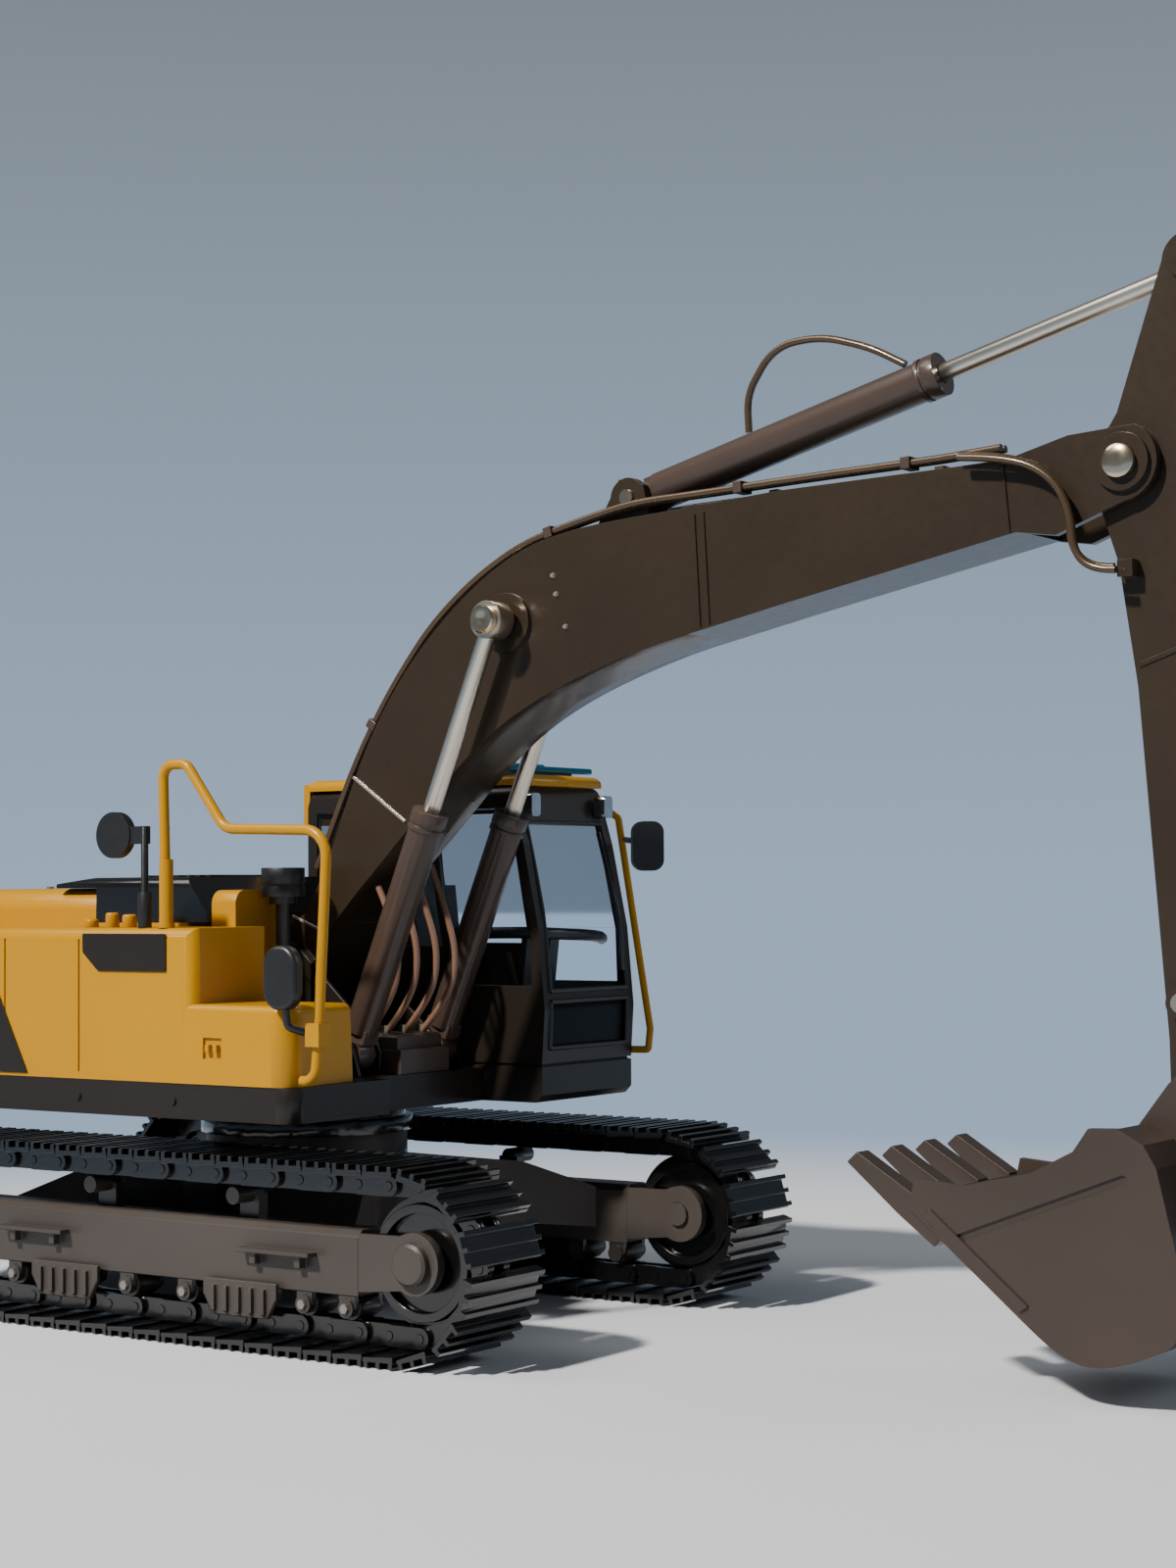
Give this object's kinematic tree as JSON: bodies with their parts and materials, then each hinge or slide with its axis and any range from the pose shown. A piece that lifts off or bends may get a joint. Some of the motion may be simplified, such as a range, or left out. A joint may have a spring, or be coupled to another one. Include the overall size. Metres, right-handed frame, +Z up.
{
  "type": "model excavator",
  "caption": "Display model of a crawler excavator with turning house, hinged boom, arm and bucket, sliding cylinder rods and turning track wheels.",
  "frame": {"origin": "on the ground, under the middle of the overall length and width", "axes": "+X the way the boom points, +Y the operator's left, +Z up"},
  "size_m": [0.1759, 0.0601, 0.106],
  "materials": {
    "yellow_paint": "satin",
    "iron_paint": "satin",
    "frame_grey": "satin",
    "gloss_black": "gloss",
    "cylinder_grey": "satin",
    "rod_steel": "polished",
    "bright_brass": "polished",
    "black_plastic": "matte",
    "hose_rubber": "satin",
    "clear_pane": "clear",
    "blue_pane": "clear",
    "lamp_silver": "polished",
    "mirror_face": "polished"
  },
  "bodies": {
    "undercarriage": {"lower_frame": "frame_grey", "slew_ring": "gloss_black", "track_frames": "frame_grey", "track_rollers": "gloss_black", "track_guards": "frame_grey", "final_drives": "frame_grey", "idler_yokes": "frame_grey", "track_shoes_left": "gloss_black", "track_shoes_right": "gloss_black", "track_chain_left": "gloss_black", "track_chain_right": "gloss_black"},
    "sprocket_left": {"sprocket_left": "gloss_black"},
    "sprocket_right": {"sprocket_right": "gloss_black"},
    "idler_left": {"idler_left": "gloss_black"},
    "idler_right": {"idler_right": "gloss_black"},
    "upper": {"deck": "iron_paint", "boom_bracket": "iron_paint", "foot_pins": "bright_brass", "right_cabinet": "yellow_paint", "left_cabinet": "yellow_paint", "counterweight": "iron_paint", "engine_cover": "gloss_black", "engine_hood": "yellow_paint", "pre_cleaner": "black_plastic", "filler_caps": "yellow_paint", "blank_plates": "iron_paint", "right_handrail": "yellow_paint", "round_mirror": "black_plastic", "front_mirror": "black_plastic", "hose_manifold": "cylinder_grey", "deck_hoses": "hose_rubber", "cab_base": "iron_paint", "cab_shell": "iron_paint", "cab_glass": "clear_pane", "cab_roof": "yellow_paint", "roof_hatch": "blue_pane", "work_lights": "lamp_silver", "wiper": "black_plastic", "cab_handrail": "yellow_paint", "cab_mirror": "black_plastic", "seat": "black_plastic", "consoles": "black_plastic"},
    "boom": {"boom": "iron_paint", "boom_hoses": "hose_rubber", "hose_clamps": "cylinder_grey", "boom_pins": "bright_brass", "tip_hoses": "hose_rubber"},
    "boom_cylinder": {"boom_cylinders": "cylinder_grey"},
    "boom_rod": {"boom_rods": "rod_steel"},
    "arm": {"arm": "iron_paint", "arm_pins": "bright_brass"},
    "arm_cylinder": {"arm_cylinder": "cylinder_grey", "cylinder_hose": "hose_rubber"},
    "arm_rod": {"arm_rod": "rod_steel"},
    "bucket": {"bucket": "iron_paint", "bucket_teeth": "frame_grey"},
    "bucket_cylinder": {"bucket_cylinder": "cylinder_grey"},
    "bucket_rod": {"bucket_rod": "rod_steel"},
    "rocker": {"rockers": "iron_paint"},
    "link": {"bucket_link": "iron_paint"}
  },
  "joints": [
    {"name": "slew", "type": "hinge", "parent": "undercarriage", "child": "upper", "pos_m": [-0.03103, 0, 0.0226], "axis": [0, 0, 1], "continuous": true},
    {"name": "boom_lift", "type": "hinge", "parent": "upper", "child": "boom", "pos_m": [-0.03053, 0, 0.0378], "axis": [0, -1, 0], "range_deg": [-60, 5], "deforming": ["deck_hoses"]},
    {"name": "arm_swing", "type": "hinge", "parent": "boom", "child": "arm", "pos_m": [0.07137, 0, 0.0852], "axis": [0, -1, 0], "range_deg": [-10, 75], "deforming": ["tip_hoses"]},
    {"name": "bucket_curl", "type": "hinge", "parent": "arm", "child": "bucket", "pos_m": [0.07698, 0, 0.0272], "axis": [0, -1, 0], "range_deg": [-20, 120]},
    {"name": "sprocket_left_spin", "type": "hinge", "parent": "undercarriage", "child": "sprocket_left", "pos_m": [-0.06763, 0.0239, 0.0098], "axis": [0, -1, 0], "continuous": true},
    {"name": "idler_left_spin", "type": "hinge", "parent": "undercarriage", "child": "idler_left", "pos_m": [0.00558, 0.0239, 0.0098], "axis": [0, -1, 0], "continuous": true},
    {"name": "sprocket_right_spin", "type": "hinge", "parent": "undercarriage", "child": "sprocket_right", "pos_m": [-0.06763, -0.0239, 0.0098], "axis": [0, -1, 0], "continuous": true},
    {"name": "idler_right_spin", "type": "hinge", "parent": "undercarriage", "child": "idler_right", "pos_m": [0.00558, -0.0239, 0.0098], "axis": [0, -1, 0], "continuous": true},
    {"name": "boom_cylinder_tilt", "type": "hinge", "parent": "upper", "child": "boom_cylinder", "pos_m": [-0.01802, 0, 0.0286], "axis": [0, -1, 0], "range_deg": [-67.16, 5.73]},
    {"name": "boom_rod_slide", "type": "slide", "parent": "boom_cylinder", "child": "boom_rod", "axis": [0.3834, 0, 0.9236], "range_m": [-0.01474, 0.00132]},
    {"name": "arm_cylinder_tilt", "type": "hinge", "parent": "boom", "child": "arm_cylinder", "pos_m": [0.01517, 0, 0.0872], "axis": [0, -1, 0], "range_deg": [-2.37, 0.33]},
    {"name": "arm_rod_slide", "type": "slide", "parent": "arm_cylinder", "child": "arm_rod", "axis": [0.9679, 0, 0.2513], "range_m": [-0.02341, 0.00321]},
    {"name": "bucket_cylinder_tilt", "type": "hinge", "parent": "arm", "child": "bucket_cylinder", "pos_m": [0.08367, 0, 0.0846], "axis": [0, -1, 0], "range_deg": [-4.99, 0.85]},
    {"name": "bucket_rod_slide", "type": "slide", "parent": "bucket_cylinder", "child": "bucket_rod", "axis": [0.048, 0, -0.9988], "range_m": [-0.01687, 0.00289]},
    {"name": "rocker_turn", "type": "hinge", "parent": "arm", "child": "rocker", "pos_m": [0.07615, 0, 0.03576], "axis": [0, -1, 0], "range_deg": [-15.49, 92]},
    {"name": "link_turn", "type": "hinge", "parent": "rocker", "child": "link", "pos_m": [0.08632, 0, 0.0294], "axis": [0, -1, 0], "range_deg": [-60.64, 10.21]}
  ],
  "couplings": [
    {"joint": "sprocket_left_spin", "follows": "idler_left_spin", "ratio": 1},
    {"joint": "sprocket_right_spin", "follows": "idler_right_spin", "ratio": 1},
    {"joint": "boom_cylinder_tilt", "follows": "boom_lift", "ratio": 1.1169},
    {"joint": "boom_rod_slide", "follows": "boom_lift", "m_per_rad": 0.01398},
    {"joint": "arm_cylinder_tilt", "follows": "arm_swing", "ratio": -0.031339},
    {"joint": "arm_rod_slide", "follows": "arm_swing", "m_per_rad": -0.01781},
    {"joint": "bucket_cylinder_tilt", "follows": "bucket_curl", "ratio": -0.041422},
    {"joint": "bucket_rod_slide", "follows": "bucket_curl", "m_per_rad": -0.008005},
    {"joint": "rocker_turn", "follows": "bucket_curl", "ratio": 0.76506},
    {"joint": "link_turn", "follows": "bucket_curl", "ratio": -0.50422}
  ]
}
